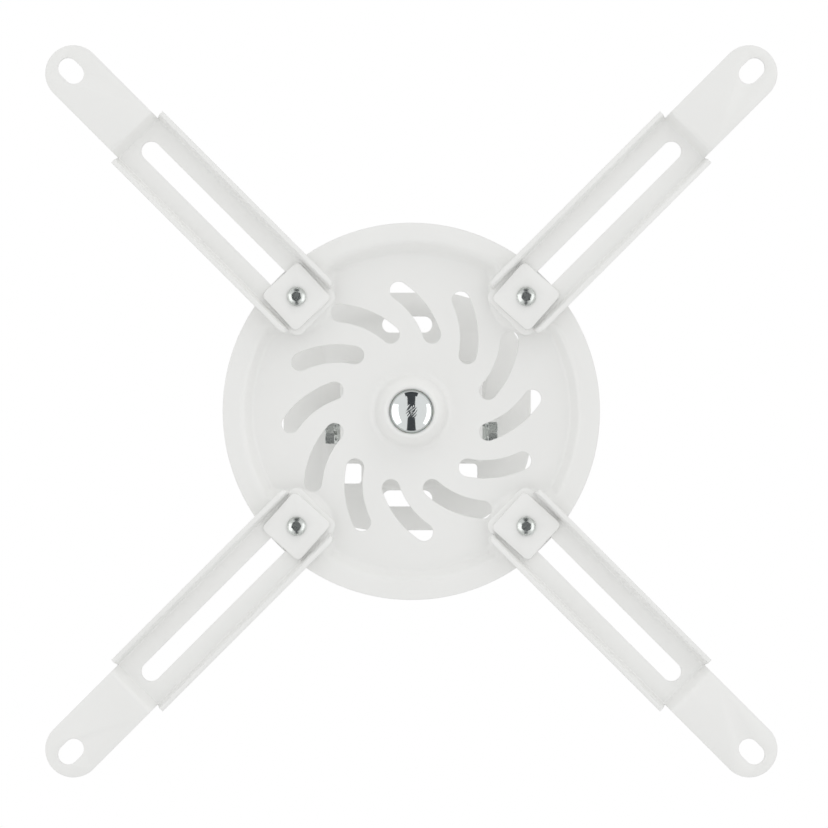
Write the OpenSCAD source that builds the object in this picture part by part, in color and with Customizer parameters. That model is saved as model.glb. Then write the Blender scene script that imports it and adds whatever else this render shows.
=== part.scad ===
// Ceiling mount for a projector.
// A ball joint under the ceiling plate carries a pressed dish. Four slotted arms swivel and slide
// on the dish until the holes at their ends meet the threads in the projector's underside.
//
// Every piece is drawn as it lies on the bench, ceiling side down, and hang() turns it over.
// Bench height is therefore the distance below the ceiling, and X and Y run as seen from below.

/* [Pressed dish] */
// Outer diameter of the dish
dish_d = 170; // [150:1:200]
// Thickness of the pressed sheet, dish and arms alike
sheet_t = 2; // [1.6:0.1:2.4]
// Depth of the pan below its rim and pads
pan_depth = 6; // [5:0.1:8]
// Width of the flat rim
rim_w = 7; // [5:0.1:9]
// Bend radius at the foot of the pressed step, on the side seen from below
foot_r = 2.5; // [1.5:0.1:3]
// Bend radius at the shoulder of the pressed step, on the side seen from below
shoulder_r = 4; // [3:0.1:5]
// Slope of the pressed step
step_angle = 56; // [50:1:65]
// Diameter of the circle through the four arm screws
pivot_circle_d = 146; // [130:1:150]
// Distance from an arm screw to the foot of the wall round its pad
pad_r = 17.3; // [16:0.1:19]
// Radius of the inner corner between a pad's wall and the rim's
pad_corner_r = 5; // [3:0.5:8]

/* [Pinwheel slots] */
// Number of slots in the floor
slot_count = 12; // [6:1:12]
// Width of a slot
slot_w = 8.1; // [5:0.1:9]
// Distance from the centre to a slot's inner round end
slot_in_r = 36; // [34:0.5:38]
// Distance from the centre to a slot's outer round end
slot_out_r = 55; // [50:0.5:56]
// How far the outer end lies round from the inner one, in degrees
slot_sweep = 21; // [10:1:24]
// Radius of the slot's curved middle line
slot_arc_r = 40; // [30:1:60]

/* [Ball joint] */
// Distance of the ball's centre below the ceiling
ball_drop = 70; // [64:1:90]
// Diameter of the ball
ball_d = 28; // [26:0.5:29]
// Diameter of the hole in the cup through which the ball shows
ball_hole_d = 20.2; // [17:0.1:22]
// Wall of the nylon seat on the ball
liner_t = 0.9; // [0.8:0.1:1.2]
// Wall of the friction ring on the seat
ring_t = 0.9; // [0.8:0.1:1.2]
// Gap between one shell and the next
shell_gap = 0.3; // [0.2:0.05:0.4]
// Radius where the cup runs into the floor of the dish
cup_foot_r = 4; // [3:0.1:5]
// Diameter of the stud's stem and thread
stem_d = 10; // [8:0.5:10]
// Width of the flange that welds the upper cup to the dish
collar_flange_w = 6.5; // [5:0.5:8]

/* [Arms] */
// Width over the flanges of an arm
arm_w = 32.6; // [31:0.1:36]
// Height of an arm's flanges, web included
arm_h = 8; // [7:0.1:10]
// How far the flanges lean outwards
flange_lean = 14; // [8:1:18]
// Bend radius between web and flange, inside
arm_bend_r = 1; // [0.6:0.1:1.5]
// Width of the long slot
arm_slot_w = 8.8; // [8.6:0.1:9.4]
// Distance from the screw at full reach to the outer end of the long slot
arm_slot_reach = 97; // [70:1:110]
// Distance from the end of the long slot to the end of the flanges
arm_slot_margin = 4; // [3:0.5:8]
// Distance that the flanges run inwards past the screw
flange_tail = 8; // [6:0.5:9]
// Distance that the web runs inwards past the screw
web_tail = 13.5; // [12.5:0.5:14.5]
// Distance from the end of the flanges to the centre of the round tab
tab_reach = 40; // [30:1:50]
// Width of the tab
tab_w = 25.2; // [22:0.1:28]
// Width of the hole in the tab
tab_slot_w = 9; // [6:0.1:10]
// Length of the hole in the tab
tab_slot_l = 12.8; // [11:0.1:16]

/* [Arm clamps] */
// Side of the square clamp plate
clamp_w = 22.5; // [20:0.1:22.8]
// Thickness of the clamp plate
clamp_t = 2.5; // [2:0.1:3]
// Diameter of the clamp screws
screw_d = 5; // [4:0.5:5]
// Diameter of a clamp screw's head
screw_head_d = 8.5; // [7.5:0.1:9.5]
// Height of a clamp screw's domed head
screw_head_h = 3; // [2.6:0.1:3.4]
// Outer diameter of the guide bush in a pad
bush_d = 8.2; // [7:0.1:8.2]
// Diameter of the guide bush's flange
bush_flange_d = 13; // [11:0.1:14]
// How far each clamp plate is turned against its arm, in degrees
clamp_turn = [3.5, -2, 3.5, 3]; // [-4:0.5:4]

/* [Ceiling plate] */
// Length of the ceiling plate along X
plate_l = 116.5; // [110:0.5:130]
// Width of the ceiling plate along Y
plate_w = 112; // [106:0.5:126]
// Corner radius of the ceiling plate
plate_corner_r = 44; // [30:1:50]
// Thickness of the ceiling plate
plate_t = 2.5; // [2:0.1:3]
// How far the ceiling plate's middle lies from the ball's axis, along X
plate_shift = -2; // [-4:0.5:4]
// Spacing of the ceiling screw holes along X
hole_pitch_x = 76; // [70:1:80]
// Spacing of the ceiling screw holes along Y
hole_pitch_y = 72; // [66:1:76]
// Diameter of the ceiling screw holes
hole_d = 5.5; // [4.5:0.1:6.5]
// Length of the two long holes for setting the plate
set_slot_l = 23.6; // [16:0.1:30]
// Width of the two long holes
set_slot_w = 7.6; // [6:0.1:9]
// Distance of the long holes from the middle of the plate
set_slot_y = 41; // [38:0.5:44]
// Size of the two cable windows along X
window_l = 11.5; // [8:0.1:13]
// Size of the two cable windows along Y
window_w = 9.4; // [7:0.1:11]

/* [Hub bracket] */
// Thickness of the two folded brackets
bracket_t = 2.5; // [2:0.1:3]
// Distance from the ceiling to the upper face of the hub bracket's web
web_drop = 44; // [40:1:48]
// Width over the ears of the hub bracket
hub_w = 65.4; // [62:0.2:70]
// Length of the hub bracket along Y
hub_l = 46; // [40:1:48]
// Length of the ceiling channel along Y
channel_l = 36; // [34:1:40]
// Distance of the side bolts below the ceiling
side_bolt_drop = 24; // [20:1:28]
// Distance of the side bolts from the ball's axis, along Y
side_bolt_y = -10; // [-11:0.5:11]
// Diameter of the side bolts
side_bolt_d = 6; // [5:0.5:6]

/* [Hidden] */

$fn = 96;

// Room that a cut runs past the face it opens, the depth of a solid below a pressed surface, and
// a difference too small to see
past = 1;
deep = 10;
hair = 0.02;

// Straight stretches in each bend of a pressed step, and round the corner beside a pad
bend_steps = 3;
corner_steps = 3;

// The bends in that corner. With the same ones as in the steps that it crosses, the dish doesn't
// come out as a closed solid.
corner_foot_r = foot_r + 0.7;
corner_shoulder_r = shoulder_r + 0.9;

// Directions of the four arms round the dish, seen from below
arm_angle = [45, 135, 225, 315];
pivot_r = pivot_circle_d / 2;

// Heights on the bench. The floor's lower face passes through the ball's centre.
floor_h = ball_drop;
rim_h = floor_h + pan_depth;
arm_web_h = rim_h + sheet_t;

// Plan width of the pressed step, and the radius where it starts to rise to the rim
step_run = step_width(pan_depth, foot_r, shoulder_r, step_angle);
rim_foot_r = dish_d / 2 - rim_w - step_run;

// Radii of the shells about the ball's centre. The dish's cup holds the ball from below, and the
// seat, the friction ring and the upper cup lie over it, one outside the other.
ball_r = ball_d / 2;
cup_in_r = ball_r + shell_gap;
cup_out_r = cup_in_r + sheet_t;
liner_in_r = ball_r + shell_gap;
liner_out_r = liner_in_r + liner_t;
ring_in_r = liner_out_r + shell_gap;
ring_out_r = ring_in_r + ring_t;
collar_in_r = ring_out_r + shell_gap;
collar_out_r = collar_in_r + sheet_t;

// Distance from the ball's axis where the cup's foot meets the floor
cup_foot = sqrt(pow(cup_out_r + cup_foot_r, 2) - pow(cup_foot_r, 2));

// Heights of the shells above the ball's centre. The seat stays clear of the dish when it tilts.
tilt_limit = 12;
shell_back = ball_r * 0.76;
collar_back = ball_r * 0.875;
ring_front = sheet_t + shell_gap;
seat_front = ring_front + liner_out_r * sin(tilt_limit);

// Corners of the round-cornered pieces
clamp_corner_r = 2.5;
window_corner_r = 2;

// Joggle between an arm's web and its tab
joggle_angle = 65;
joggle_foot_r = 1;
joggle_shoulder_r = 3;
flange_end = arm_slot_reach + arm_slot_margin;
tab_x = flange_end + tab_reach;
tab_slot_shift = 1.6;
tab_slot_x = tab_x + tab_slot_shift;
arm_slot_in = -1;
flange_round_r = 4;

// Head of the clamp screws: the height of its straight edge, its dome, and its hexagon socket
screw_edge_h = 0.8;
screw_dome_h = screw_head_h - screw_edge_h;
screw_dome_r = (pow(screw_head_d / 2, 2) + pow(screw_dome_h, 2)) / (2 * screw_dome_h);
socket_w = 4;
socket_depth = 2;

// Middle of a cable window, measured from the middle of the plate
window_x = 27.3;
window_y = -29.3;

// The guide bush ends short of the clamp plate, and the screw comes out above it
bush_play = 0.2;
screw_tail = 1.5;

// Hexagon hardware of the side bolts: width across flats, then heights
side_flats = 10;
side_head_h = 4.2;
side_nut_h = 5;
flat_washer_d = 12.5;
flat_washer_t = 1.6;
spring_washer_d = 10.4;
spring_washer_t = 1.6;
side_bolt_tail = 2.5;
spring_split = 1.2;

// The channel fits between the hub bracket's ears, and the side bolts clamp the two together
channel_w = hub_w - 2 * bracket_t;
side_nut_x = channel_w / 2 - bracket_t;
side_head_x = hub_w / 2 + flat_washer_t + spring_washer_t;

// Ball stud hardware
stud_collar_flats = 17;
stud_collar_h = 4.5;
stud_nut_flats = 17;
stud_nut_h = 8;
stud_washer_d = 20;
stud_washer_t = 2;
lock_washer_d = 18;
lock_washer_t = 1.5;
stud_tail = 4;

// Thread allowances: a bolt's hole is wider than the bolt by this much
hole_play = 0.6;

// Fold of the two brackets
fold_r = 1.5;
hub_ear_top = 12;
channel_ear_drop = 34;
ear_round_r = 8;

// How far a bolt's plain end is chamfered
end_chamfer = 0.6;

// Turns a piece from the bench to its place under the ceiling
module hang() {
    rotate([180, 0, 0]) children();
}

// Places a piece at arm screw number i, its X axis pointing outwards
module at_pivot(i) {
    rotate([0, 0, arm_angle[i]]) translate([pivot_r, 0, 0]) children();
}

// A round hole or pin along Z
module pin(d, from_h, to_h) {
    translate([0, 0, from_h]) cylinder(d = d, h = to_h - from_h);
}

// A hexagon bar along Z, given across its flats
module hexagon(flats, from_h, to_h) {
    translate([0, 0, from_h]) cylinder(d = flats / cos(30), h = to_h - from_h, $fn = 6);
}

// A flat ring
module washer(d, hole, from_h, to_h) {
    difference() {
        pin(d, from_h, to_h);
        pin(hole, from_h - past, to_h + past);
    }
}

// Outline of a rectangle with round corners, about its middle
module round_rect(l, w, r) {
    square([l - 2 * r, w], center = true);
    square([l, w - 2 * r], center = true);
    for (x = [-1, 1], y = [-1, 1]) {
        translate([x * (l / 2 - r), y * (w / 2 - r)]) circle(r);
    }
}

// Outline of a slot with round ends, l long over all, along X
module obround(l, w) {
    square([l - w, w], center = true);
    for (x = [-1, 1]) {
        translate([x * (l - w) / 2, 0]) circle(d = w);
    }
}

// Length of the straight stretch of a pressed step, and the width of the whole step in plan
function step_straight(d, rf, rs, a) = (d - (rf + rs) * (1 - cos(a))) / sin(a);
function step_width(d, rf, rs, a) = (rf + rs) * sin(a) + step_straight(d, rf, rs, a) * cos(a);

// Section of the solid under a pressed step that rises by d, from its foot at X = 0 and on for
// run more. With sink, the surface lies that much deeper everywhere, and the sheet is the space
// between the section with sink 0 and the section with sink sheet_t. Short straight stretches
// stand for its two bends, so that steps which meet cross each other cleanly.
module step_section(d, rf, rs, a, run, sink) {
    w = step_width(d, rf, rs, a);
    foot = rf + sink;
    shoulder = rs - sink;
    turns = [for (i = [0 : bend_steps]) a * i / bend_steps];
    polygon([
        [0, -deep],
        for (t = turns) [foot * sin(t), rf - foot * cos(t)],
        for (i = [bend_steps : -1 : 0]) [
            w - shoulder * sin(turns[i]),
            d - rs + shoulder * cos(turns[i])
        ],
        [w + run, d - sink],
        [w + run, -deep]
    ]);
}

// How far a sunk solid runs past the edge of the one it is cut from
function spare(sink) = sink > 0 ? past : 0;

// Section of the dish from its middle to its edge: the cup, the floor and the rim
module dish_section(sink) {
    difference() {
        translate([0, -deep]) square([rim_foot_r, deep - sink]);
        translate([0, -deep - past]) square([cup_foot, deep + 2 * past]);
    }
    translate([rim_foot_r, 0]) {
        step_section(pan_depth, foot_r, shoulder_r, step_angle, rim_w + spare(sink), sink);
    }
    difference() {
        polygon([[0, -deep], [cup_foot, -deep], [cup_foot, cup_foot_r], [0, 0]]);
        translate([cup_foot, cup_foot_r]) circle(cup_foot_r + sink);
    }
    difference() {
        circle(cup_out_r - sink);
        translate([-cup_out_r, -cup_out_r]) square([cup_out_r, 2 * cup_out_r]);
        translate([0, -2 * cup_out_r - deep]) square([cup_out_r, 2 * cup_out_r]);
    }
}

// Solid under the pad at an arm screw: a quarter of a round step about the screw, between two
// straight ones that run out past the rim
module pad(sink) {
    side = pivot_r / sqrt(2);
    translate([side, side, floor_h]) {
        rotate([0, 0, 180]) rotate_extrude(angle = 90) {
            translate([pad_r, 0]) mirror([1, 0]) {
                step_section(pan_depth, foot_r, shoulder_r, step_angle, pad_r - step_run, sink);
            }
        }
        for (turn = [0, 1]) {
            mirror([turn, -turn, 0]) {
                translate([0, -pad_r, 0]) rotate([90, 0, 90]) linear_extrude(dish_d / 2) {
                    step_section(pan_depth, foot_r, shoulder_r, step_angle, dish_d / 2, sink);
                }
            }
        }
    }
}

// Solid that rounds off the inner corner between a pad's wall and the rim's: short straight steps,
// each turned a little further about the middle of the round
module pad_corner(sink) {
    wall = pivot_r / sqrt(2) - pad_r;
    x = wall - pad_corner_r;
    y = sqrt(pow(rim_foot_r - pad_corner_r, 2) - x * x);
    turn = atan2(y, x) / corner_steps;
    reach = (pad_corner_r + step_run) * tan(turn);
    translate([x, y, floor_h]) {
        for (i = [0.5 : 1 : corner_steps - 0.5]) {
            rotate([0, 0, turn * i]) translate([pad_corner_r, reach, 0]) {
                rotate([90, 0, 0]) linear_extrude(2 * reach) {
                    step_section(pan_depth, corner_foot_r, corner_shoulder_r, step_angle,
                                 foot_r, sink);
                }
            }
        }
    }
}

// The whole die under the dish, its surface sunk by the given depth. The pads run past its edge.
module dish_die(sink) {
    translate([0, 0, floor_h]) rotate_extrude() dish_section(sink);
    for (i = [0 : 3]) {
        rotate([0, 0, 90 * i]) {
            pad(sink);
            pad_corner(sink);
            mirror([1, -1, 0]) pad_corner(sink);
        }
    }
}

// Outline of one pinwheel slot: a stretch of ring between two round ends, which are a hair
// narrower so that they meet its sides at clean corners
module pinwheel_slot(angle) {
    inner = slot_in_r * [cos(angle), sin(angle)];
    outer = slot_out_r * [cos(angle + slot_sweep), sin(angle + slot_sweep)];
    chord = outer - inner;
    half = norm(chord) / 2;
    side = [-chord.y, chord.x] / norm(chord);
    middle = (inner + outer) / 2 + side * sqrt(pow(slot_arc_r, 2) - half * half);
    wedge = 1.5;
    intersection() {
        translate(middle) difference() {
            circle(slot_arc_r + slot_w / 2, $fn = 180);
            circle(slot_arc_r - slot_w / 2, $fn = 180);
        }
        polygon([middle, middle + wedge * (inner - middle), middle + wedge * (outer - middle)]);
    }
    for (end = [inner, outer]) {
        translate(end) circle(d = slot_w - hair);
    }
}

// A band of a shell about the ball's centre between two radii, from height low to height high
module shell(in_r, out_r, low, high) {
    translate([0, 0, ball_drop]) rotate_extrude() {
        intersection() {
            difference() {
                circle(out_r);
                circle(in_r);
            }
            translate([0, low]) square([out_r, high - low]);
        }
    }
}

// Section of an arm's channel, web down, its surface sunk by the given depth
module channel_section(sink) {
    r = arm_bend_r + sheet_t - sink;
    top = arm_w / 2 - sink / cos(flange_lean);
    bottom = top - (arm_h - sink) * tan(flange_lean);
    tangent = r / tan(45 + flange_lean / 2);
    for (side = [0, 1]) {
        mirror([side, 0]) {
            polygon([
                [0, sink],
                [bottom - tangent, sink],
                [bottom + tangent * sin(flange_lean), sink + tangent * cos(flange_lean)],
                [top, arm_h],
                [0, arm_h]
            ]);
            translate([bottom - tangent, sink + r]) circle(r);
        }
    }
}

// One arm, its screw at the origin at full reach and its tab pointing along +X
module arm_body() {
    joggle_x = flange_end - past;
    difference() {
        union() {
            intersection() {
                translate([-web_tail, 0, rim_h]) rotate([90, 0, 90]) {
                    linear_extrude(web_tail + joggle_x + past) difference() {
                        channel_section(0);
                        channel_section(sheet_t);
                    }
                }
                arm_side();
                arm_plan();
            }
            arm_tab(joggle_x);
        }
        translate([0, 0, rim_h - past]) linear_extrude(arm_h + 2 * sheet_t) {
            translate([(arm_slot_reach + arm_slot_in - arm_slot_w / 2) / 2, 0]) {
                obround(arm_slot_reach - arm_slot_in + arm_slot_w / 2, arm_slot_w);
            }
            translate([tab_slot_x, 0]) obround(tab_slot_l, tab_slot_w);
        }
    }
}

// Side view of the channel: the flanges with a round inner corner, and the longer web
module arm_side() {
    translate([0, arm_w, rim_h]) rotate([90, 0, 0]) linear_extrude(2 * arm_w) {
        translate([-web_tail, 0]) square([web_tail + flange_end, sheet_t]);
        translate([flange_round_r - flange_tail, 0]) {
            square([flange_tail + flange_end - flange_round_r, arm_h]);
        }
        translate([-flange_tail, 0]) square([flange_round_r, arm_h - flange_round_r]);
        translate([flange_round_r - flange_tail, arm_h - flange_round_r]) circle(flange_round_r);
    }
}

// Plan of the channel: full width along the flanges, and a round-cornered tongue inside them
module arm_plan() {
    tongue_w = arm_w - 2 * (sheet_t + arm_bend_r);
    translate([0, 0, rim_h - past]) linear_extrude(arm_h + 2 * past) {
        translate([-flange_tail, -arm_w]) square([flange_tail + flange_end, 2 * arm_w]);
        translate([-web_tail + web_tail / 2, 0]) round_rect(web_tail, tongue_w, flange_round_r);
    }
}

// Joggle and tab beyond the flanges, starting at the given distance from the screw
module arm_tab(joggle_x) {
    run = step_width(arm_h, joggle_foot_r, joggle_shoulder_r, joggle_angle);
    overlap = 4;
    tab_end = tab_x + tab_w / 2;
    intersection() {
        translate([joggle_x, tab_w / 2, rim_h + sheet_t]) rotate([90, 0, 0]) {
            linear_extrude(tab_w) difference() {
                union() {
                    translate([-overlap, -deep]) square([overlap, deep]);
                    step_section(arm_h, joggle_foot_r, joggle_shoulder_r, joggle_angle,
                                 tab_end - joggle_x - run, 0);
                }
                translate([-overlap - past, -deep - past]) {
                    square([overlap + past, deep + past - sheet_t]);
                }
                step_section(arm_h, joggle_foot_r, joggle_shoulder_r, joggle_angle,
                             tab_end - joggle_x - run + past, sheet_t);
            }
        }
        translate([0, 0, rim_h - past]) linear_extrude(arm_h + sheet_t + 2 * past) {
            translate([joggle_x - overlap, -tab_w / 2]) square([tab_x - joggle_x + overlap, tab_w]);
            translate([tab_x, 0]) circle(d = tab_w);
        }
    }
}

// A sheet folded into a U: outside width w, from the web at height 0 up to height h, l along Y
module folded_u(w, l, h) {
    rotate([90, 0, 0]) translate([0, 0, -l / 2]) linear_extrude(l) {
        difference() {
            fold_outline(w, h, fold_r + bracket_t);
            translate([0, bracket_t]) fold_outline(w - 2 * bracket_t, h, fold_r);
        }
    }
}

// Outline of the space a U fills, with its two lower corners rounded
module fold_outline(w, h, r) {
    translate([-w / 2, r]) square([w, h - r]);
    translate([-w / 2 + r, 0]) square([w - 2 * r, h]);
    for (side = [-1, 1]) {
        translate([side * (w / 2 - r), r]) circle(r);
    }
}

// Places a piece on the axis of a side bolt, its own +Z pointing outwards, side -1 or 1
module at_side_bolt(side) {
    translate([0, side_bolt_y, side_bolt_drop]) rotate([0, side * 90, 0]) children();
}

// Side view of an ear with round lower or upper corners, as a bar along X
module ear_bar(l, low, high, round_low) {
    r = ear_round_r;
    rotate([90, 0, 90]) translate([0, 0, -hub_w]) linear_extrude(2 * hub_w) {
        translate([-l / 2, round_low ? low + r : low]) square([l, high - low - r]);
        translate([-l / 2 + r, low]) square([l - 2 * r, high - low]);
        for (side = [-1, 1]) {
            translate([side * (l / 2 - r), round_low ? low + r : high - r]) circle(r);
        }
    }
}

// Plate that is screwed to the ceiling
module ceiling_plate() {
    color("whitesmoke") hang() translate([plate_shift, 0, 0]) difference() {
        linear_extrude(plate_t) round_rect(plate_l, plate_w, plate_corner_r);
        for (x = [-1, 1], y = [-1, 1]) {
            translate([x * hole_pitch_x / 2, y * hole_pitch_y / 2, 0]) {
                pin(hole_d, -past, plate_t + past);
            }
        }
        translate([0, 0, -past]) linear_extrude(plate_t + 2 * past) {
            for (y = [-1, 1]) {
                translate([0, y * set_slot_y]) obround(set_slot_l, set_slot_w);
            }
            for (x = [-1, 1]) {
                translate([x * window_x, window_y]) {
                    round_rect(window_l, window_w, window_corner_r);
                }
            }
        }
    }
}

// Folded channel welded under the ceiling plate, its ears pointing down
module ceiling_channel() {
    color("whitesmoke") hang() difference() {
        intersection() {
            translate([0, 0, plate_t]) folded_u(channel_w, channel_l, channel_ear_drop - plate_t);
            ear_bar(channel_l, plate_t, channel_ear_drop, false);
        }
        side_bolt_holes();
    }
}

// Folded bracket that carries the ball stud, its ears pointing up outside the channel's
module hub_bracket() {
    color("whitesmoke") hang() difference() {
        intersection() {
            translate([0, 0, web_drop + bracket_t]) mirror([0, 0, 1]) {
                folded_u(hub_w, hub_l, web_drop + bracket_t - hub_ear_top);
            }
            ear_bar(hub_l, hub_ear_top, web_drop + bracket_t, true);
        }
        side_bolt_holes();
        pin(stem_d + hole_play, web_drop - past, web_drop + bracket_t + past);
    }
}

// Clearance holes for the side bolts through both pairs of ears
module side_bolt_holes() {
    for (side = [-1, 1]) {
        at_side_bolt(side) {
            pin(side_bolt_d + hole_play, channel_w / 2 - 2 * bracket_t, hub_w / 2 + past);
        }
    }
}

// Hexagon bolt through two ears, its head outside
module side_bolt(side) {
    color("silver") hang() at_side_bolt(side) {
        pin(side_bolt_d, side_nut_x - side_nut_h - side_bolt_tail, side_head_x);
        hexagon(side_flats, side_head_x, side_head_x + side_head_h);
    }
}

// Flat washer against the outer ear
module flat_washer(side) {
    color("silver") hang() at_side_bolt(side) {
        washer(flat_washer_d, side_bolt_d + hole_play, hub_w / 2, hub_w / 2 + flat_washer_t);
    }
}

// Split spring washer under the bolt's head
module spring_washer(side) {
    low = hub_w / 2 + flat_washer_t;
    color("silver") hang() at_side_bolt(side) difference() {
        washer(spring_washer_d, side_bolt_d + hole_play, low, low + spring_washer_t);
        translate([0, -spring_split / 2, low - past]) {
            cube([spring_washer_d, spring_split, spring_washer_t + 2 * past]);
        }
    }
}

// Hexagon nut inside the channel's ear
module side_nut(side) {
    color("silver") hang() at_side_bolt(side) difference() {
        hexagon(side_flats, side_nut_x - side_nut_h, side_nut_x);
        pin(side_bolt_d, side_nut_x - side_nut_h - past, side_nut_x + past);
    }
}

// Ball with its stem, a hexagon collar under the web and a thread through it
module ball_stud() {
    collar_h = web_drop + bracket_t + lock_washer_t;
    top_h = web_drop - stud_washer_t - stud_nut_h - stud_tail;
    color("gainsboro") hang() {
        translate([0, 0, ball_drop]) sphere(ball_r);
        pin(stem_d, top_h + end_chamfer, ball_drop);
        translate([0, 0, top_h]) {
            cylinder(d1 = stem_d - 2 * end_chamfer, d2 = stem_d, h = end_chamfer);
        }
        hexagon(stud_collar_flats, collar_h, collar_h + stud_collar_h);
    }
}

// Lock washer between the stud's collar and the web
module lock_washer() {
    color("silver") hang() {
        washer(lock_washer_d, stem_d + hole_play,
               web_drop + bracket_t, web_drop + bracket_t + lock_washer_t);
    }
}

// Flat washer on top of the web
module stud_washer() {
    color("silver") hang() {
        washer(stud_washer_d, stem_d + hole_play, web_drop - stud_washer_t, web_drop);
    }
}

// Nut that holds the stud to the web
module stud_nut() {
    top = web_drop - stud_washer_t;
    color("silver") hang() difference() {
        hexagon(stud_nut_flats, top - stud_nut_h, top);
        pin(stem_d, top - stud_nut_h - past, top + past);
    }
}

// Nylon seat that lies on the ball
module ball_seat() {
    color("white") hang() shell(liner_in_r, liner_out_r, -shell_back, -seat_front);
}

// Friction ring between the seat and the upper cup
module friction_ring() {
    color("dimgray") hang() shell(ring_in_r, ring_out_r, -shell_back, -ring_front);
}

// Pressed dish with its cup, rim, four pads and pinwheel slots
module carrier_dish() {
    color("white") hang() difference() {
        intersection() {
            difference() {
                dish_die(0);
                dish_die(sheet_t);
            }
            pin(dish_d, floor_h - 2 * deep, floor_h + cup_out_r + past);
        }
        translate([0, 0, floor_h - sheet_t - past]) linear_extrude(sheet_t + pan_depth + 2 * past) {
            for (i = [0 : slot_count - 1]) {
                pinwheel_slot((i + 0.5) * 360 / slot_count);
            }
        }
        for (i = [0 : 3]) {
            at_pivot(i) pin(bush_d, floor_h, rim_h + past);
        }
        pin(ball_hole_d, floor_h, floor_h + cup_out_r + past);
    }
}

// Upper cup welded to the back of the dish, which keeps the ball in
module upper_cup() {
    color("white") hang() {
        difference() {
            union() {
                shell(collar_in_r, collar_out_r, -collar_back, -sheet_t);
                pin(2 * (cup_foot + collar_flange_w), floor_h - 2 * sheet_t, floor_h - sheet_t);
            }
            translate([0, 0, ball_drop]) sphere(collar_in_r);
        }
    }
}

// Threaded guide bush pressed into a pad from above, which the arm's slot runs on
module guide_bush(i) {
    color("silver") hang() at_pivot(i) difference() {
        union() {
            pin(bush_flange_d, rim_h - 2 * sheet_t, rim_h - sheet_t);
            pin(bush_d, rim_h - 2 * sheet_t, arm_web_h - bush_play);
        }
        pin(screw_d, rim_h - 2 * sheet_t - past, arm_web_h + past);
    }
}

// Socket screw with a domed head that clamps an arm
module clamp_screw(i) {
    seat = arm_web_h + clamp_t;
    top = seat + screw_head_h;
    color("silver") hang() at_pivot(i) difference() {
        union() {
            pin(screw_d, rim_h - 2 * sheet_t - screw_tail, seat);
            intersection() {
                pin(screw_head_d, seat, top + past);
                translate([0, 0, top - screw_dome_r]) sphere(screw_dome_r);
            }
        }
        hexagon(socket_w, top - socket_depth, top + past);
    }
}

// Square plate that lies between an arm's flanges and presses its web onto the pad
module clamp_plate(i) {
    color("white") hang() at_pivot(i) rotate([0, 0, clamp_turn[i]]) difference() {
        translate([0, 0, arm_web_h]) linear_extrude(clamp_t) {
            round_rect(clamp_w, clamp_w, clamp_corner_r);
        }
        pin(screw_d + hole_play, arm_web_h - past, arm_web_h + clamp_t + past);
    }
}

// Slotted arm
module arm(i) {
    color("white") hang() at_pivot(i) arm_body();
}

ceiling_plate();
ceiling_channel();
hub_bracket();
side_bolt(1);  // side_bolt_1
side_bolt(-1);  // side_bolt_2
flat_washer(1);  // flat_washer_1
flat_washer(-1);  // flat_washer_2
spring_washer(1);  // spring_washer_1
spring_washer(-1);  // spring_washer_2
side_nut(1);  // side_nut_1
side_nut(-1);  // side_nut_2
ball_stud();
stud_washer();
stud_nut();
lock_washer();
ball_seat();
friction_ring();
carrier_dish();
upper_cup();
guide_bush(0);  // guide_bush_1
guide_bush(1);  // guide_bush_2
guide_bush(2);  // guide_bush_3
guide_bush(3);  // guide_bush_4
clamp_screw(0);  // clamp_screw_1
clamp_screw(1);  // clamp_screw_2
clamp_screw(2);  // clamp_screw_3
clamp_screw(3);  // clamp_screw_4
clamp_plate(0);  // clamp_plate_1
clamp_plate(1);  // clamp_plate_2
clamp_plate(2);  // clamp_plate_3
clamp_plate(3);  // clamp_plate_4
arm(0);  // arm_1
arm(1);  // arm_2
arm(2);  // arm_3
arm(3);  // arm_4
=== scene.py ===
# %% [markdown]
# # A ceiling mount for a projector
#
# The mount hangs from the ceiling by a flat plate. A folded channel and a folded bracket under the
# plate carry a ball stud, a pressed steel dish tilts on the ball, and four slotted arms swivel and
# slide on the dish. Nearly everything is white powder-coated sheet steel; the ball is chromed, and
# the screws, nuts, washers and bushes are zinc plated.
#
# The solids come from the CAD model, which sets the sizes. This script gives them what a solid
# model leaves out: rolled edges, threads, chamfered nuts, weld beads and real finishes. It then
# sets up a soft white studio, seen from straight below as the mount is seen in a room.

# %% Load the solids
import math

import bpy
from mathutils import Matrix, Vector


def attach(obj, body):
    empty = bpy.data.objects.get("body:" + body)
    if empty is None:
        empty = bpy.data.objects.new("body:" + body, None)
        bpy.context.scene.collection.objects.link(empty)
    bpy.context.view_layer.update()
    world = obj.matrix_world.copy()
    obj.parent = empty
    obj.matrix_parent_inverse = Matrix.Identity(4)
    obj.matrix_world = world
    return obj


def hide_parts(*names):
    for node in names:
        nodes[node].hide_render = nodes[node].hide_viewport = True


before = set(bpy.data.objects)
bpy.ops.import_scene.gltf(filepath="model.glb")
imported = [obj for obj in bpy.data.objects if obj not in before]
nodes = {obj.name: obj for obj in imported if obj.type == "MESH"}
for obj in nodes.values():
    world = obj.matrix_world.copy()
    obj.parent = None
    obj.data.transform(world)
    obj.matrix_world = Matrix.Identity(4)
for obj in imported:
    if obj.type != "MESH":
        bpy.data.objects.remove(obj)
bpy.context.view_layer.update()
MM = 0.001

# %% [markdown]
# ## Working with one piece at a time
#
# Blender's operators act on whatever is selected, and after loading, every solid is. So the first
# helper selects one object and nothing else. The others open a mesh for editing, apply a modifier,
# smooth the shading, move a piece's place into its mesh, and clean a mesh up.


# %% Selection helpers
def only(piece):
    """Makes the piece the one selected and active object."""
    bpy.ops.object.select_all(action="DESELECT")
    piece.select_set(True)
    bpy.context.view_layer.objects.active = piece
    return piece


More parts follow.
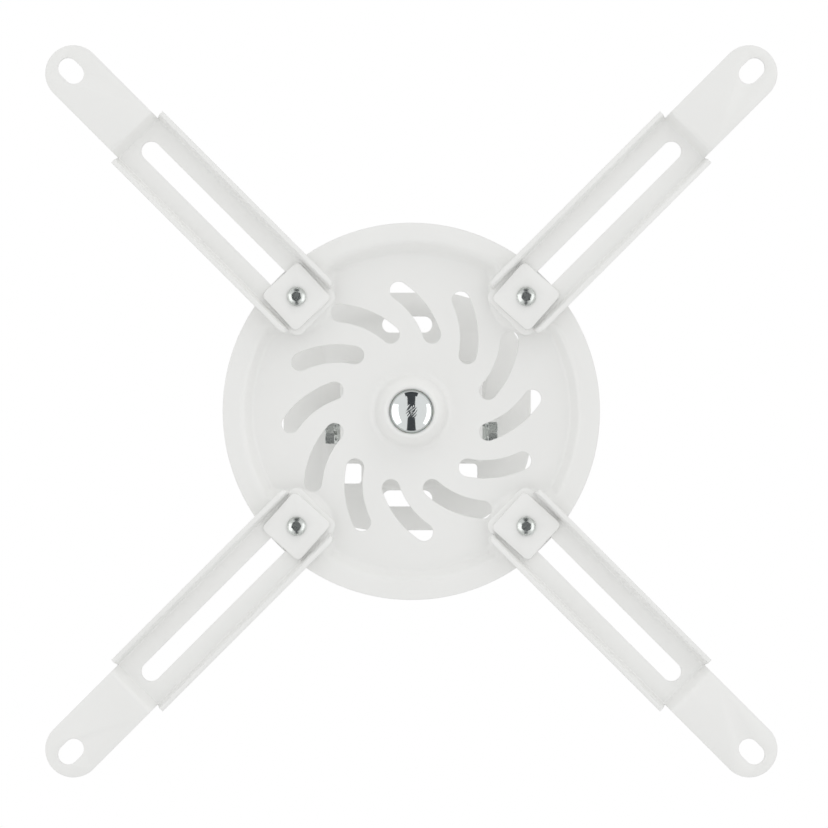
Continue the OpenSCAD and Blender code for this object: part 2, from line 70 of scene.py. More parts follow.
def edit(piece, what="VERT"):
    """Opens the piece in edit mode with everything selected."""
    only(piece)
    bpy.ops.object.mode_set(mode="EDIT")
    bpy.ops.mesh.select_mode(type=what)
    bpy.ops.mesh.select_all(action="SELECT")


def done():
    """Goes back to object mode."""
    bpy.ops.object.mode_set(mode="OBJECT")


def apply_modifier(piece, kind, **settings):
    """Adds a modifier, sets it up and applies it."""
    only(piece)
    modifier = piece.modifiers.new(kind.title(), kind)
    for key, value in settings.items():
        setattr(modifier, key, value)
    bpy.ops.object.modifier_apply(modifier=modifier.name)


def smooth(piece, degrees=32):
    """Shades curved runs smoothly and keeps the real edges crisp."""
    only(piece)
    bpy.ops.object.shade_smooth_by_angle(angle=math.radians(degrees))


def settle(piece):
    """Moves a piece's place into its mesh, so that its object sits at the origin, unturned."""
    only(piece)
    bpy.ops.object.transform_apply(location=True, rotation=True, scale=True)
    return piece


def outward(piece):
    """Merges doubles and points every face outwards."""
    edit(piece)
    bpy.ops.mesh.remove_doubles(threshold=1e-6)
    bpy.ops.mesh.normals_make_consistent(inside=False)
    done()


print("helpers ready")

# %% [markdown]
# ## Sums between shader sockets
#
# A finish is mostly arithmetic: a little noise added to the roughness, a mask times a colour.
# Wiring Math nodes by hand hides that, so this small class wraps a socket and lets Python's own
# signs add the nodes. `1 - mask` and `noise * 0.2 + 0.4` then read as they would on paper.


# %% The finish maker
class Wire:
    """A socket of a finish that can stand in a sum."""

    def __init__(self, finish, socket):
        self.finish = finish
        self.socket = socket

    def _sum(self, operation, a, b):
        return self.finish.node("ShaderNodeMath", {"operation": operation}, {0: a, 1: b})

    def __add__(self, other):
        return self._sum("ADD", self, other)

    def __sub__(self, other):
        return self._sum("SUBTRACT", self, other)

    def __rsub__(self, other):
        return self._sum("SUBTRACT", other, self)

    def __mul__(self, other):
        return self._sum("MULTIPLY", self, other)

    __radd__ = __add__
    __rmul__ = __mul__


class Finish:
    """A material that is being built: its Principled shader, and one way to add any other node."""

    def __init__(self, name):
        self.material = bpy.data.materials.new(name)
        self.material.use_nodes = True
        self.tree = self.material.node_tree
        self.shader = self.tree.nodes["Principled BSDF"]
        self.place = self.node("ShaderNodeTexCoord", {}, {}, "Object")

    def set(self, socket, value):
        """Gives a socket a plain value or a wire."""
        if isinstance(value, Wire):
            self.tree.links.new(value.socket, socket)
        else:
            socket.default_value = value

    def node(self, kind, settings, inputs, output=0):
        """Adds a node, sets it up, feeds its sockets and returns one of its outputs."""
        made = self.tree.nodes.new(kind)
        for key, value in settings.items():
            setattr(made, key, value)
        for key, value in inputs.items():
            self.set(made.inputs[key], value)
        return Wire(self, made.outputs[output])

    def noise(self, scale, detail=2.0, rough=0.5):
        """Noise on the piece's own coordinates, about 0.5 on average."""
        sockets = {"Vector": self.place, "Scale": scale, "Detail": detail, "Roughness": rough}
        return self.node("ShaderNodeTexNoise", {}, sockets)

    def blend(self, amount, first, second):
        """A colour between two colours."""
        sockets = {"Factor": amount, 6: first, 7: second}
        return self.node("ShaderNodeMix", {"data_type": "RGBA"}, sockets, 2)

    def soft_edges(self, radius, height=None, strength=0.3, distance=0.0002):
        """Rounds every edge in the shading, with a bump on top if a height is given."""
        sockets = {"Radius": radius}
        if height is not None:
            bump = {"Height": height, "Strength": strength, "Distance": distance}
            sockets["Normal"] = self.node("ShaderNodeBump", {}, bump)
        normal = self.node("ShaderNodeBevel", {"samples": 6}, sockets)
        self.set(self.shader.inputs["Normal"], normal)

    def finish(self, **sockets):
        """Sets the shader's own sockets and returns the finished material."""
        for key, value in sockets.items():
            self.set(self.shader.inputs[key.replace("_", " ")], value)
        return self.material


print("finish maker ready")

# %% [markdown]
# ## White powder coat
#
# Powder coat is plastic dust that is sprayed on and baked until it flows together. It is a hair
# thicker than paint, so it rounds every edge of the sheet, and it sets with a faint orange-peel
# ripple that breaks up reflections. The white is slightly warm and never perfectly even: a slow
# noise shifts it by a shade or so, and the gloss wanders with it.
#
# The photograph shows dark lines beside the clamp plates, which the even light of this studio
# leaves too pale. So the white is painted grey where other faces stand closer than two millimetres:
# this is painted shade in the narrow gaps. A node gives the share of a point's view that they
# leave free: the painted shade starts at one share and is full at a smaller one. That is a device
# for the picture and no property of the paint.

# %% The powder coat
COAT_ROUND, PEEL_STRENGTH, PEEL_DEPTH = 0.45 * MM, 0.06, 0.00004
WHITE_LOW, WHITE_HIGH = (0.850, 0.851, 0.834, 1), (0.885, 0.887, 0.873, 1)
# Painted shade: the grey that the white turns to in narrow gaps, and the shares of free view where
# it starts and is full.
GAP, PAINTED_SHADE_GREY = 1.8 * MM, (0.12, 0.12, 0.115, 1)
PAINTED_SHADE_STARTS, PAINTED_SHADE_FULL = 0.38, 0.14

coat = Finish("white_powder_coat")
cloudy = coat.noise(18.0, 3.0)
peel = coat.noise(900.0, 1.0) + coat.noise(2400.0, 1.0) * 0.35
coat.soft_edges(COAT_ROUND, peel, PEEL_STRENGTH, PEEL_DEPTH)
# Painted shade: the coat is greyed where little of the view is free, that is in narrow gaps.
free_view = coat.node("ShaderNodeAmbientOcclusion", {"samples": 16}, {"Distance": GAP}, 1)
painted_gap_shade = coat.node("ShaderNodeMapRange", {}, {0: free_view, 1: PAINTED_SHADE_STARTS, 2: PAINTED_SHADE_FULL})
powder_coat = coat.finish(
    Base_Color=coat.blend(painted_gap_shade, coat.blend(cloudy, WHITE_LOW, WHITE_HIGH), PAINTED_SHADE_GREY),
    Roughness=cloudy * 0.10 + 0.33,
)
print("made", powder_coat.name)

# %% [markdown]
# ## Chrome for the ball
#
# The ball has to slide in its seat, so it is ground round and chromed. Chrome is nearly a mirror
# with a cool grey tint. A faint haze of handling marks keeps it from looking like glass.
#
# The photograph shows a small mottled patch at the ball's very tip, which is read here as tool
# marks under the chrome. A bump of wavy lines makes it, and fades out between two distances from
# the ball's axis that wander a little.

# %% The chrome
PATCH_FULL, PATCH_END, PATCH_WANDER, PATCH_TOP = 0.0030, 0.0042, 0.0016, -0.080

bright = Finish("polished_chrome")
haze = bright.noise(160.0, 4.0, 0.6)
flat_place = bright.node("ShaderNodeVectorMath", {"operation": "MULTIPLY"},
                         {0: bright.place, 1: (1, 1, 0)})
from_axis = bright.node("ShaderNodeVectorMath", {"operation": "LENGTH"}, {0: flat_place}, 1)
height = bright.node("ShaderNodeSeparateXYZ", {}, {0: bright.place}, 2)
at_tip = bright.node("ShaderNodeMapRange", {"interpolation_type": "SMOOTHSTEP"},
                     {0: from_axis + bright.noise(500.0, 2.0) * PATCH_WANDER,
                      1: PATCH_END, 2: PATCH_FULL})
low_down = bright.node("ShaderNodeMath", {"operation": "LESS_THAN"}, {0: height, 1: PATCH_TOP})
lines = bright.node("ShaderNodeTexWave", {"bands_direction": "DIAGONAL"},
                    {"Vector": bright.place, "Scale": 430.0, "Distortion": 4.0, "Detail": 3.0,
                     "Detail Scale": 1.5}, 1)
marks = bright.node("ShaderNodeBump", {},
                    {"Height": at_tip * low_down * lines, "Strength": 0.6, "Distance": 0.00011})
bright.set(bright.shader.inputs["Normal"], marks)
chrome = bright.finish(
    Base_Color=bright.blend(haze, (0.74, 0.77, 0.765, 1), (0.80, 0.83, 0.825, 1)),
    Roughness=haze * 0.05 + 0.05,
    Metallic=1.0,
)
print("made", chrome.name)

# %% [markdown]
# ## Bright zinc for screws, nuts and washers
#
# Bought-in fasteners are zinc plated. Zinc is paler and duller than chrome, with a slight green
# cast from its passivation and a fine mottle where the crystals grew. The mottle changes both the
# tint and the gloss.

# %% The zinc
plated = Finish("bright_zinc")
mottle = plated.noise(900.0, 3.0, 0.6)
stain = plated.noise(140.0, 2.0)
tint = mottle * 0.5 + stain * 0.5
plated.soft_edges(0.15 * MM, mottle, 0.12, 0.00004)
zinc = plated.finish(
    Base_Color=plated.blend(tint, (0.56, 0.59, 0.57, 1), (0.74, 0.76, 0.74, 1)),
    Roughness=mottle * 0.18 + 0.20,
    Metallic=1.0,
)
print("made", zinc.name)

# %% [markdown]
# ## Nylon and friction fibre
#
# Two thin shells sit between the ball and the cups: a nylon seat that slides on the chrome, and a
# ring of pressed fibre that holds the angle by friction. Nylon lets a little light in, so it gets
# some subsurface. The fibre is dark, matt and speckled.

# %% The two linings
plastic = Finish("natural_nylon")
milky = plastic.noise(220.0, 2.0)
plastic.soft_edges(0.15 * MM)
nylon = plastic.finish(
    Base_Color=plastic.blend(milky, (0.78, 0.77, 0.72, 1), (0.85, 0.84, 0.80, 1)),
    Roughness=milky * 0.1 + 0.4,
    Subsurface_Weight=0.15,
    Subsurface_Scale=0.001,
)
pressed = Finish("friction_fibre")
speckle = pressed.noise(1400.0, 4.0, 0.7)
pressed.soft_edges(0.1 * MM, speckle, 0.4, 0.0001)
fibre = pressed.finish(
    Base_Color=pressed.blend(speckle, (0.02, 0.02, 0.022, 1), (0.14, 0.13, 0.12, 1)),
    Roughness=speckle * 0.2 + 0.7,
)
print("made", nylon.name, fibre.name)

# %% [markdown]
# ## Sheet parts with soft edges
#
# The dish, the arms and the brackets have the right shape already, but a solid's edges are knife
# sharp and its mesh is loose triangles. A copy is merged and its flat areas are joined again, and
# a narrow bevel rolls each edge over as the punch and the coating do. The copy stands for the
# solid in the picture, and the solid keeps its place in the mechanism.


# %% Copy a solid and roll its edges
def copy_solid(node, name):
    """A merged copy of a solid's mesh, with its flat areas joined into single faces."""
    piece = bpy.data.objects.new(name, nodes[node].data.copy())
    bpy.context.scene.collection.objects.link(piece)
    only(piece)
    if piece.data.has_custom_normals:
        bpy.ops.mesh.customdata_custom_splitnormals_clear()
    edit(piece)
    bpy.ops.mesh.remove_doubles(threshold=2e-6)
    bpy.ops.mesh.dissolve_limited(angle_limit=math.radians(0.5))
    done()
    return piece


def roll_edges(piece, width):
    """Bevels every real edge by a narrow width."""
    apply_modifier(piece, "BEVEL", width=width, segments=2, limit_method="ANGLE",
                   angle_limit=math.radians(40), harden_normals=False)
    smooth(piece)


def dress(piece, material, body, slot, *replaced):
    """Gives a piece its one finish, ties it to its body and hides the solids it stands for."""
    piece.data.materials.clear()
    piece.data.materials.append(material)
    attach(piece, body)
    if replaced:
        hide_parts(*replaced)
    return piece


def sheet_part(node, body):
    """A solid of sheet steel with rolled edges and its coat of powder."""
    piece = copy_solid(node, node + "_coated")
    roll_edges(piece, 0.3 * MM)
    return dress(piece, powder_coat, body, "white_paint", node)


for node in ("ceiling_plate", "ceiling_channel", "hub_bracket"):
    sheet_part(node, "ceiling")
for i in (1, 2, 3, 4):
    sheet_part(f"arm_{i}", f"arm_{i}_body")
    sheet_part(f"clamp_plate_{i}", f"clamp_{i}")
print("coated the plate, the brackets, the arms and the clamps")

# %% [markdown]
# ## Turning and threads
#
# A round piece is drawn as half of its outline, and the Screw modifier sweeps it round the axis as
# a lathe would. A thread is a ridge that climbs as it goes round: one tooth is drawn as a short
# zigzag, the same modifier lifts it by one pitch a turn, and merging joins each turn to the next.
# The two open ends are filled, which leaves one closed thread.


# %% Turn and thread
def outline(name, points):
    """An open chain of points (radius, height) in the XZ plane, ready to be swept round Z."""
    bpy.ops.object.select_all(action="DESELECT")
    bpy.ops.mesh.primitive_circle_add(vertices=3, radius=MM)
    chain = bpy.context.object
    chain.name = name
    edit(chain)
    bpy.ops.mesh.merge(type="CENTER")
    done()
    chain.data.vertices[0].co = (points[0][0], 0, points[0][1])
    edit(chain)
    for (r0, z0), (r1, z1) in zip(points, points[1:]):
        bpy.ops.mesh.extrude_region_move(TRANSFORM_OT_translate={"value": (r1 - r0, 0, z1 - z0)})
    done()
    return chain


def turned(name, points, steps=64):
    """A solid turned on a lathe from its outline, which starts and ends on the axis."""
    piece = outline(name, points)
    apply_modifier(piece, "SCREW", steps=steps, render_steps=steps, use_merge_vertices=True,
                   merge_threshold=1e-7)
    outward(piece)
    return piece


def thread(name, diameter, pitch, low, high):
    """A thread along Z between two heights, with closed ends and a narrow flat on its crest."""
    crest = diameter / 2
    root = crest - 0.6 * pitch
    tooth = [(root, low), (crest, low + 0.42 * pitch), (crest, low + 0.58 * pitch),
             (root, low + pitch)]
    rod = outline(name, tooth)
    turns = int((high - low) / pitch) - 1
    apply_modifier(rod, "SCREW", screw_offset=pitch, iterations=turns, steps=24, render_steps=24)
    edit(rod)
    bpy.ops.mesh.remove_doubles(threshold=1e-6)
    bpy.ops.mesh.select_all(action="DESELECT")
    bpy.ops.mesh.select_mode(type="EDGE")
    bpy.ops.mesh.select_non_manifold()
    bpy.ops.mesh.fill()
    done()
    outward(rod)
    return rod


sample = thread("thread_sample", 10 * MM, 1.5 * MM, 0, 12 * MM)
print("a sample thread has", len(sample.data.polygons), "faces")
bpy.data.objects.remove(sample)

# %% [markdown]
# ## Nuts and bolt heads
#
# A hexagon nut starts as a bar, and a lathe takes its corners off at a slant, which leaves the
# curved edge on each flat. The same happens here: a six-sided cylinder is cut by a turned blank
# with slanted ends, so the corners come out right for any size.


# %% Cut hexagons and join pieces
def cut(piece, cutter, operation="DIFFERENCE"):
    """Cuts a piece with another, which is used up."""
    apply_modifier(piece, "BOOLEAN", object=cutter, operation=operation, solver="EXACT")
    bpy.data.objects.remove(cutter)


def bar(name, flats, low, high, sides=6):
    """A bar along Z between two heights, given across its flats."""
    radius = flats / 2 / math.cos(math.pi / sides)
    bpy.ops.object.select_all(action="DESELECT")
    bpy.ops.mesh.primitive_cylinder_add(vertices=sides, radius=radius, depth=high - low,
                                        location=(0, 0, (low + high) / 2))
    made = bpy.context.object
    made.name = name
    return settle(made)


def hexagon(name, flats, low, high, slant_low=True):
    """A hexagon along Z, its corners turned off at 30 degrees at the high end or at both."""
    face, corner = flats * 0.475, flats * 0.6
    drop = (corner - face) * math.tan(math.radians(30))
    outside = [(0, low), (face if slant_low else corner, low)]
    outside += [(corner, low + drop)] if slant_low else []
    outside += [(corner, high - drop), (face, high), (0, high)]
    piece = bar(name, flats, low, high)
    cut(piece, turned("blank", outside), "INTERSECT")
    return piece


def join(name, *parts):
    """Joins parts into one piece with its own mesh."""
    only(parts[0])
    for part in parts[1:]:
        part.select_set(True)
    bpy.ops.object.join()
    parts[0].name = name
    return parts[0]


def turn_to(piece, axis, place=(0, 0, 0)):
    """Turns a piece made along +Z to point along an axis, and moves its origin to a place."""
    piece.rotation_euler = Vector(axis).to_track_quat("Z", "Y").to_euler()
    piece.location = place
    return settle(piece)


sample = hexagon("hexagon_sample", 10 * MM, 0, 5 * MM)
print("a chamfered hexagon has", len(sample.data.polygons), "faces")
bpy.data.objects.remove(sample)

# %% [markdown]
# ## The dish
#
# The dish is pressed from one sheet. Its step bends are short cones and planes in the solid, so
# they only need smooth shading to read as bends. The edges of the slots are left to the shader's
# soft edges, because a bevel would cut into the narrow faces beside them.
#
# In the photograph no dark ring shows between the ball and the paint round it. So the mouth of the
# cup gets a wide round at its lower edge: the outline below follows that round, and the solid
# turned from it is cut away. Both this round and the nylon lip further down are guesses at what
# closes the ring.

# %% The dish with its round mouth
BALL_Z, BALL_R = -70 * MM, 14 * MM
MOUTH_R, CUP_R, ROUND_R, ROUND_STEPS = 10.1 * MM, 16.3 * MM, 1.1 * MM, 8
WASTE_R, WASTE_LOW, WASTE_HIGH = 12.8 * MM, BALL_Z - 18 * MM, BALL_Z - 11.2 * MM

round_h = math.sqrt((CUP_R - ROUND_R) ** 2 - (MOUTH_R + ROUND_R) ** 2)
first = math.atan2(round_h, MOUTH_R + ROUND_R)
waste = [(0, WASTE_LOW), (WASTE_R, WASTE_LOW), (WASTE_R, WASTE_HIGH)]
for step in range(ROUND_STEPS + 1):
    angle = first + (math.pi - first) * step / ROUND_STEPS
    waste.append((MOUTH_R + ROUND_R * (1 + math.cos(angle)),
                  BALL_Z - round_h - ROUND_R * math.sin(angle)))
waste.append((0, BALL_Z - round_h))

dish = copy_solid("carrier_dish", "carrier_dish_coated")
cut(dish, turned("waste", waste, 96))
smooth(dish, 28)
dress(dish, powder_coat, "dish", "white_paint", "carrier_dish")
print(dish.name, len(dish.data.polygons), "faces")

# %% [markdown]
# ## The upper cup and the lip
#
# The upper cup closes the joint from above. It is taken to be spot welded to the dish, and a ring
# of shallow dents in its flange stands for the welds. The nylon lip is a thin band on the ball,
# just inside the mouth of the dish: each corner of its section is given by its distance from the
# ball's face and its angle from straight down.

# %% The upper cup and the nylon lip
DENTS, DENT_RING_R, FLANGE_Z = 6, 22.4 * MM, -66 * MM
DENT_OUTLINE = [(0, -0.35 * MM), (1.1 * MM, -0.2 * MM), (2 * MM, 0.1 * MM), (0, 0.6 * MM)]
LIP_SECTION = ((0.03, 44.6), (0.03, 48), (0.27, 48), (0.27, 45.2))

cup = copy_solid("upper_cup", "upper_cup_coated")
dents = []
for step in range(DENTS):
    angle = math.radians(360 / DENTS * step)
    place = (DENT_RING_R * math.cos(angle), DENT_RING_R * math.sin(angle), FLANGE_Z)
    dents.append(turn_to(turned("dent", DENT_OUTLINE, 32), (0, 0, 1), place))
cut(cup, join("dents", *dents))
smooth(cup, 28)
dress(cup, powder_coat, "dish", "white_paint", "upper_cup")
print(cup.name, len(cup.data.polygons), "faces")

lip_outline = []
for clearance, degrees in LIP_SECTION:
    radius, angle = BALL_R + clearance * MM, math.radians(degrees)
    lip_outline.append((radius * math.sin(angle), BALL_Z - radius * math.cos(angle)))
lip = turned("nylon_lip", lip_outline + lip_outline[:1], 96)
smooth(lip, 40)
dress(lip, nylon, "dish", "nylon")
print(lip.name, len(lip.data.polygons), "faces")

# %% [markdown]
# ## Weld beads
#
# Two short beads are taken to join the channel to the ceiling plate, one along each end of its
# web. A bead is laid drop by drop, so its outline is a row of low arches that shrink towards both
# ends. The outline is turned into a rippled rod, and half of the rod lies in the corner it fills.

# %% Lay the weld beads
BEAD_L, BEAD_R, DROPS, POINTS = 26 * MM, 1.7 * MM, 20, 4
RIPPLE, TAPER, BEAD_Z = 0.16 * MM, 6, -2.6 * MM

for name, y in (("weld_bead_front", -18 * MM), ("weld_bead_rear", 18 * MM)):
    ripple = [(0, -BEAD_L / 2)]
    for step in range(1, DROPS * POINTS):
        along = step / (DROPS * POINTS)
        swell = min(1, TAPER * along, TAPER * (1 - along)) ** 0.5
        arch = abs(math.sin(math.pi * DROPS * along))
        ripple.append(((BEAD_R - RIPPLE * (1 - arch)) * swell, BEAD_L * (along - 0.5)))
    bead = turned(name, ripple + [(0, BEAD_L / 2)], 24)
    turn_to(bead, (1, 0, 0), (0, y, BEAD_Z))
    smooth(bead, 50)
    dress(bead, powder_coat, "ceiling", "white_paint")
print("two beads of", DROPS, "drops")

# %% [markdown]
# ## The ball stud
#
# The stud is one piece: a chromed ball, a short neck, a hexagon collar that a spanner holds, and an
# M10 thread that goes up through the bracket. The ball and the neck are turned from one outline,
# in which a short slope leads from the ball into the neck.

# %% Turn the ball stud
STEM_R, STUD_PITCH = 5 * MM, 1.5 * MM
COLLAR_LOW, COLLAR_HIGH, STUD_TOP = -52.5 * MM, -48 * MM, -30 * MM
OVERLAP, ARC_STEP, ARC_POINTS = 0.1 * MM, 3, 52

ball_outline = [(0, BALL_Z - BALL_R)]
for step in range(1, ARC_POINTS + 1):
    angle = math.radians(-90 + step * ARC_STEP)
    ball_outline.append((BALL_R * math.cos(angle), BALL_Z + BALL_R * math.sin(angle)))
ball_outline += [(STEM_R, BALL_Z + BALL_R), (STEM_R, COLLAR_LOW + OVERLAP),
                 (0, COLLAR_LOW + OVERLAP)]
ball = turned("ball", ball_outline, 96)
collar = hexagon("collar", 17 * MM, COLLAR_LOW, COLLAR_HIGH)
shank = thread("shank", 2 * STEM_R, STUD_PITCH, COLLAR_HIGH - STUD_PITCH, STUD_TOP - 0.4 * MM)
tip = turned("tip", [(0, STUD_TOP - 2 * MM), (4.1 * MM, STUD_TOP - 2 * MM),
                     (4.1 * MM, STUD_TOP - 0.5 * MM), (3.6 * MM, STUD_TOP), (0, STUD_TOP)])
stud = join("ball_stud_turned", ball, collar, shank, tip)
smooth(stud)
dress(stud, chrome, "ceiling", "chrome", "ball_stud")
print(stud.name, len(stud.data.polygons), "faces")

# %% [markdown]
# ## Nuts, washers and side bolts
#
# Two M6 bolts clamp the bracket to the channel, each with a flat washer, a split spring washer
# and a nut inside. They are made once along +Z and turned to face left and right. The plain
# washers are the solids with their edges rolled, as a press leaves them.

# %% Make the side bolts and the nuts
BOLT_Y, BOLT_Z = 10 * MM, -24 * MM
HEAD_X, NUT_X, TAIL_X = 35.9 * MM, 27.7 * MM, 20.2 * MM
FLATS, HOLLOW_X = 10 * MM, HEAD_X + 3.4 * MM

for number, side in ((1, 1), (2, -1)):
    head = hexagon("head", FLATS, HEAD_X, HEAD_X + 4.2 * MM, slant_low=False)
    cut(head, turned("hollow", [(0, HOLLOW_X), (3.6 * MM, HOLLOW_X), (4.1 * MM, HEAD_X + 4.3 * MM),
                                (0, HEAD_X + 4.3 * MM)]))
    body = bar("body", 5.9 * MM, NUT_X - 2 * MM, HEAD_X + 0.5 * MM, sides=48)
    end = thread("end", 6 * MM, 1 * MM, TAIL_X + 0.1 * MM, NUT_X)
    tip = turned("tip", [(0, TAIL_X), (2 * MM, TAIL_X), (2.4 * MM, TAIL_X + 0.5 * MM),
                         (2.4 * MM, TAIL_X + 2 * MM), (0, TAIL_X + 2 * MM)])
    bolt = join(f"side_bolt_{number}_turned", head, body, end, tip)
    turn_to(bolt, (side, 0, 0), (0, BOLT_Y, BOLT_Z))
    smooth(bolt)
    dress(bolt, zinc, "ceiling", "zinc", f"side_bolt_{number}")

    nut = hexagon(f"side_nut_{number}_turned", FLATS, NUT_X - 5 * MM, NUT_X)
    cut(nut, bar("bore", 5.6 * MM, NUT_X - 6 * MM, NUT_X + 1 * MM, sides=48))
    turn_to(nut, (side, 0, 0), (0, BOLT_Y, BOLT_Z))
    smooth(nut)
    dress(nut, zinc, "ceiling", "zinc", f"side_nut_{number}")

nut = hexagon("stud_nut_turned", 17 * MM, -42 * MM, -34 * MM)
cut(nut, bar("bore", 9.4 * MM, -43 * MM, -33 * MM, sides=64))
smooth(nut)
dress(nut, zinc, "ceiling", "zinc", "stud_nut")


def plated_part(node, body):
    """A plated solid with its edges rolled."""
    piece = copy_solid(node, node + "_plated")
    roll_edges(piece, 0.2 * MM)
    return dress(piece, zinc, body, "zinc", node)


for node in ("stud_washer", "lock_washer", "flat_washer_1", "flat_washer_2", "spring_washer_1",
             "spring_washer_2"):
    plated_part(node, "ceiling")
print("side bolts, nuts and washers made")

# %% [markdown]
# ## Clamp screws
#
# Each arm is held by a low socket screw. Seen from below it is the only bright thing on its arm:
# a domed rim round a dark hexagon hole. The head is turned from an outline with a round dome, the
# hole is cut with a hexagon bar and a small cone at its mouth, and the thread sticks out above
# the dish. Each screw gets a turn of its own, so that the four sockets don't line up.

# %% Make one clamp screw and copy it to each arm
SEAT_Z, HEAD_R, DOME_R, DOME_STEPS = -80.5 * MM, 4.25 * MM, 5.2 * MM, 11
HEAD_LOW, SOCKET_W, SOCKET_CORE = SEAT_Z - 3 * MM, 4 * MM, 2.4 * MM
MOUTH_LOW, MOUTH_HIGH = HEAD_LOW - 0.2 * MM, HEAD_LOW + 0.5 * MM
PIVOT_R = 73 * MM

head_outline = [(0, HEAD_LOW)]
for step in range(1, DOME_STEPS + 1):
    angle = math.asin(HEAD_R / DOME_R) * step / DOME_STEPS
    head_outline.append((DOME_R * math.sin(angle), HEAD_LOW + DOME_R * (1 - math.cos(angle))))
head_outline += [(HEAD_R, SEAT_Z - 0.2 * MM), (HEAD_R - 0.2 * MM, SEAT_Z), (SOCKET_CORE, SEAT_Z),
                 (SOCKET_CORE, SEAT_Z + 2 * MM), (0, SEAT_Z + 2 * MM)]
model = turned("model_screw", head_outline)
cut(model, bar("socket", SOCKET_W, HEAD_LOW - MM, HEAD_LOW + 2 * MM))
cut(model, turned("mouth", [(0, MOUTH_LOW), (2.75 * MM, MOUTH_LOW), (2.1 * MM, MOUTH_HIGH),
                            (0, MOUTH_HIGH)]))
shank = thread("shank", 5 * MM, 0.8 * MM, SEAT_Z + 0.2 * MM, -70.6 * MM)
tip = turned("tip", [(0, -72 * MM), (1.9 * MM, -72 * MM), (1.9 * MM, -70.9 * MM),
                     (1.6 * MM, -70.5 * MM), (0, -70.5 * MM)])
model = join("model_screw", model, shank, tip)
smooth(model)

for i, place, twist in ((1, -45, 14), (2, -135, -9), (3, -225, 22), (4, -315, 3)):
    screw = bpy.data.objects.new(f"clamp_screw_{i}_turned", model.data.copy())
    bpy.context.scene.collection.objects.link(screw)
    angle = math.radians(place)
    screw.location = (PIVOT_R * math.cos(angle), PIVOT_R * math.sin(angle), 0)
    screw.rotation_euler = (0, 0, math.radians(twist))
    settle(screw)
    dress(screw, zinc, "dish", "zinc", f"clamp_screw_{i}")
    plated_part(f"guide_bush_{i}", "dish")
bpy.data.objects.remove(model)
print("clamp screws and guide bushes made")

# %% [markdown]
# ## The two linings
#
# The nylon seat and the fibre ring are thin shells that hardly show. Their solids have the right
# shape, so copies with smooth shading and their own finishes are enough.

# %% Finish the linings
for node, body, material, slot in (("ball_seat", "seat", nylon, "nylon"),
                                   ("friction_ring", "ring", fibre, "friction_fibre")):
    lining = copy_solid(node, node + "_lining")
    smooth(lining)
    dress(lining, material, body, slot, node)
print("linings finished")

# %% [markdown]
# ## The surround and the lamps
#
# White on white only reads through shade. An even white surround lights the mount from all round,
# a little less than the white that the camera sees behind it. A window light from one side gives
# the paint its shade, and a weak fill from straight below keeps the hollows open. These two don't
# show in reflections. The two softboxes left and right show in nothing else: they give the ball
# its pair of highlights and the paint its sheen. Every lamp faces the ball in the middle.

# %% Surround and lamps
AMBIENT, BACKDROP = 0.95, 1.0
MIDDLE = (0, 0, -0.07)

world = bpy.data.worlds.new("surround")
bpy.context.scene.world = world
world.use_nodes = True
sky = world.node_tree
background = sky.nodes["Background"]
light_path = sky.nodes.new("ShaderNodeLightPath")


def either(first, second):
    """The larger of two sockets of the surround."""
    larger = sky.nodes.new("ShaderNodeMath")
    larger.operation = "MAXIMUM"
    sky.links.new(first, larger.inputs[0])
    sky.links.new(second, larger.inputs[1])
    return larger.outputs[0]


seen = either(light_path.outputs["Is Camera Ray"], light_path.outputs["Is Transmission Ray"])
level = sky.nodes.new("ShaderNodeMapRange")
level.inputs["To Min"].default_value = AMBIENT
level.inputs["To Max"].default_value = BACKDROP
sky.links.new(either(seen, light_path.outputs["Is Glossy Ray"]), level.inputs["Value"])
sky.links.new(level.outputs["Result"], background.inputs["Strength"])
background.inputs["Color"].default_value = (1, 1, 1, 1)


def softbox(name, place, size, power):
    """A rectangular lamp that faces the mount."""
    lamp = bpy.data.lights.new(name, "AREA")
    lamp.shape = "RECTANGLE"
    lamp.size, lamp.size_y = size
    lamp.energy = power
    box = bpy.data.objects.new(name, lamp)
    box.location = place
    box.rotation_euler = (Vector(MIDDLE) - Vector(place)).to_track_quat("-Z", "Y").to_euler()
    bpy.context.scene.collection.objects.link(box)
    return box


for name, place, size, power in (("softbox_left", (-1.40, 0.25, -0.63), (1.9, 1.1), 5.9),
                                 ("softbox_right", (1.44, 0.25, -0.48), (1.9, 0.8), 4.3)):
    softbox(name, place, size, power).visible_diffuse = False
for name, place, size, power in (("window_light", (0.55, -1.35, -0.6), (1.6, 1.2), 3.2),
                                 ("front_fill", (0.0, 0.0, -2.3), (2.4, 2.4), 3.5)):
    softbox(name, place, size, power).visible_glossy = False
print("lamps set")

# %% [markdown]
# ## Floor, shade and dark cloths
#
# A wide pale floor lies below the mount and throws light up at it. A grey card above the mount,
# which the camera doesn't see, takes light from the upper faces, so that they stand out from the
# floor in views from above. A dark arch under the mount and a dark doorway at one side show in
# reflections alone: they give the ball its dark middle and the screws their contrast.


# %% Lay out the floor, the shade and the cloths
def plain(name, colour):
    """A plain matt colour for the studio."""
    made = Finish(name)
    return made.finish(Base_Color=colour, Roughness=0.9)


def sheet(name, size, place, turn=(0, 0, 0)):
    """A flat square of the studio."""
    bpy.ops.object.select_all(action="DESELECT")
    bpy.ops.mesh.primitive_plane_add(size=size, location=place, rotation=turn)
    made = settle(bpy.context.object)
    made.name = name
    return made


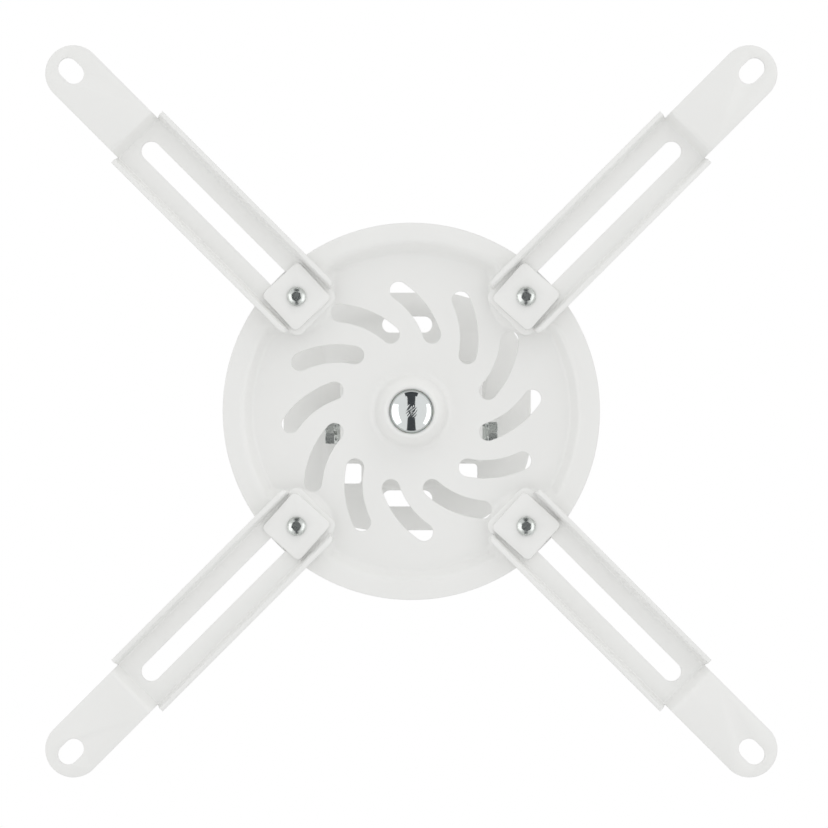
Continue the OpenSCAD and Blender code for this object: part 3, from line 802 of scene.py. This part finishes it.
def unseen(piece, *rays):
    """Hides a piece from the named kinds of ray."""
    for ray in rays:
        setattr(piece, "visible_" + ray, False)


floor = sheet("floor", 120, (0, 0, -3))
floor.data.materials.append(plain("pale_floor", (0.9, 0.9, 0.9, 1)))
shade = sheet("ceiling_shade", 1.3, (0, 0, 0.3))
shade.data.materials.append(plain("grey_card", (0.82, 0.82, 0.82, 1)))
unseen(shade, "camera", "transmission")

bpy.ops.object.select_all(action="DESELECT")
bpy.ops.mesh.primitive_cylinder_add(vertices=96, radius=1.9, depth=0.92, end_fill_type="NOTHING",
                                    location=MIDDLE, rotation=(0, math.pi / 2, 0))
arch = settle(bpy.context.object)
arch.name = "dark_arch"
edit(arch, "FACE")
bpy.ops.mesh.bisect(plane_co=MIDDLE, plane_no=(0, 0, 1), clear_outer=True)
done()
doorway = sheet("dark_doorway", 2.3, (0, -3, -0.7), (math.pi / 2, 0, 0))
cloth_finish = plain("dark_fabric", (0.05, 0.055, 0.06, 1))
for cloth in (arch, doorway):
    cloth.data.materials.append(cloth_finish)
    unseen(cloth, "camera", "diffuse", "shadow", "transmission")
print("studio laid out")

# %% [markdown]
# ## The camera
#
# The photograph looks straight up at the mount from below, from far enough away that the arms
# keep their true shape. The lens is long and the camera stands 1.6 m from the arms. The image is
# 828 pixels square, and one pixel covers 0.45 mm at the level of the arms. The picture's middle
# lies a little off the ball's axis.

# %% Place the camera
PIXELS, MM_PER_PIXEL, SENSOR = 828, 0.45, 36
DISTANCE, ARM_Z, OFF_AXIS = 1.6, -0.078, 0.0012

camera = bpy.data.objects.new("camera", bpy.data.cameras.new("camera"))
bpy.context.scene.collection.objects.link(camera)
camera.data.sensor_width = SENSOR
camera.data.lens = SENSOR * DISTANCE / (PIXELS * MM_PER_PIXEL * MM)
camera.data.clip_end = 100
camera.location = (OFF_AXIS, OFF_AXIS, ARM_Z - DISTANCE)
camera.rotation_euler = (math.pi, 0, 0)
bpy.context.scene.camera = camera
bpy.context.scene.view_settings.view_transform = "Standard"
print("lens", round(camera.data.lens, 1), "mm")
